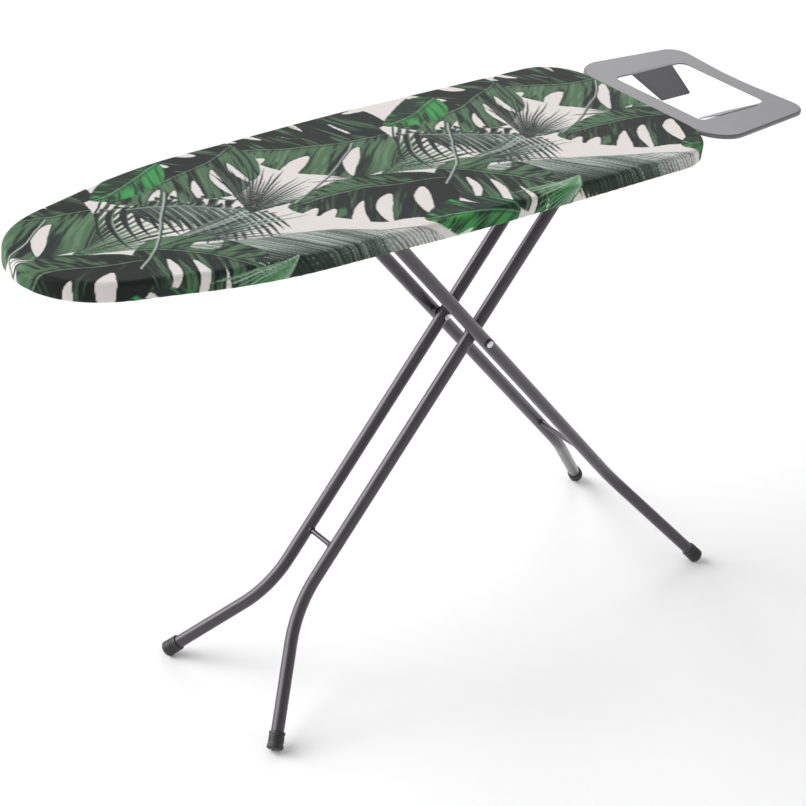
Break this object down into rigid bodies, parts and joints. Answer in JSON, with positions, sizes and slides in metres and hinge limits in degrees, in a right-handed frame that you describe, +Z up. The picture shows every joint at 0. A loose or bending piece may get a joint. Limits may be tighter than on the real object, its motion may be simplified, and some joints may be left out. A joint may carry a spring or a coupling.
{
  "type": "ironing board",
  "caption": "Folding ironing board: long padded cloth-covered top with a rounded nose, crossed bent-tube legs and a flat sheet-metal iron rest at the tail.",
  "frame": {"origin": "on the floor, below the centre of the object's bounding box, with the board standing open at its ironing height", "axes": "+Z up, X along the board with the rounded nose at -X and the iron rest at +X, Y across the board with the height lever on the +Y side"},
  "size_m": [1.331, 0.358, 0.85],
  "materials": {
    "frame_paint": "dark anthracite semi-gloss powder coat with a faint metallic fleck",
    "rest_paint": "silver-grey satin powder coat",
    "bare_steel": "zinc-plated rod and screws",
    "rivet_steel": "bright plated rivet",
    "spring_steel": "drawn spring wire",
    "sheet_paint": "light grey dip paint on perforated sheet",
    "printed_cotton": "plain-weave cotton with a green leaf print on off-white",
    "felt": "needled felt",
    "black_plastic": "moulded, fine grain",
    "white_plastic": "moulded, plain"
  },
  "bodies": {
    "board": {"steel_top": "sheet_paint", "top_rim": "sheet_paint", "felt_pad": "felt", "fabric_cover": "printed_cotton", "slide_rail_near": "frame_paint", "slide_rail_far": "frame_paint", "hinge_bracket_near": "frame_paint", "hinge_bracket_far": "frame_paint", "iron_rest": "rest_paint", "rest_arm_near": "rest_paint", "rest_arm_far": "rest_paint", "rest_screw_near_1": "bare_steel", "rest_screw_near_2": "bare_steel", "rest_screw_far_1": "bare_steel", "rest_screw_far_2": "bare_steel", "lever_bracket_front": "frame_paint", "lever_bracket_rear": "frame_paint", "lever_pin": "bare_steel", "lever_spring": "spring_steel"},
    "inner_frame": {"inner_leg_near": "frame_paint", "inner_leg_far": "frame_paint", "inner_crossbar": "frame_paint", "inner_foot_near": "black_plastic", "inner_foot_far": "black_plastic", "hinge_rod": "bare_steel", "pivot_spacer_near": "black_plastic", "pivot_spacer_far": "black_plastic"},
    "outer_frame": {"outer_leg_near": "frame_paint", "outer_leg_far": "frame_paint", "outer_crossbar": "frame_paint", "outer_foot_near": "black_plastic", "outer_foot_far": "black_plastic", "slide_rod": "bare_steel", "slide_bush_near": "white_plastic", "slide_bush_far": "white_plastic", "slide_nut_near": "bare_steel", "slide_nut_far": "bare_steel", "pivot_rivet_near": "rivet_steel", "pivot_rivet_far": "rivet_steel", "pivot_washer_near": "black_plastic", "pivot_washer_far": "black_plastic"},
    "lever": {"height_lever": "frame_paint", "lever_grip": "black_plastic"}
  },
  "joints": [
    {"name": "fold", "type": "hinge", "parent": "board", "child": "inner_frame", "pos_m": [0.29241, 0, 0.805], "axis": [0, 1, 0], "range_deg": [0, 51.5]},
    {"name": "scissor", "type": "hinge", "parent": "inner_frame", "child": "outer_frame", "pos_m": [0.0995, 0, 0.549], "axis": [0, 1, 0], "range_deg": [-97, 0]},
    {"name": "lever_release", "type": "hinge", "parent": "board", "child": "lever", "pos_m": [-0.184, 0.118, 0.8], "axis": [1, 0, 0], "range_deg": [0, 18], "stiffness_Nm_per_rad": 0.35, "springref_deg": -17.19}
  ],
  "couplings": [
    {"joint": "scissor", "follows": "fold", "ratio": -1.8765}
  ]
}
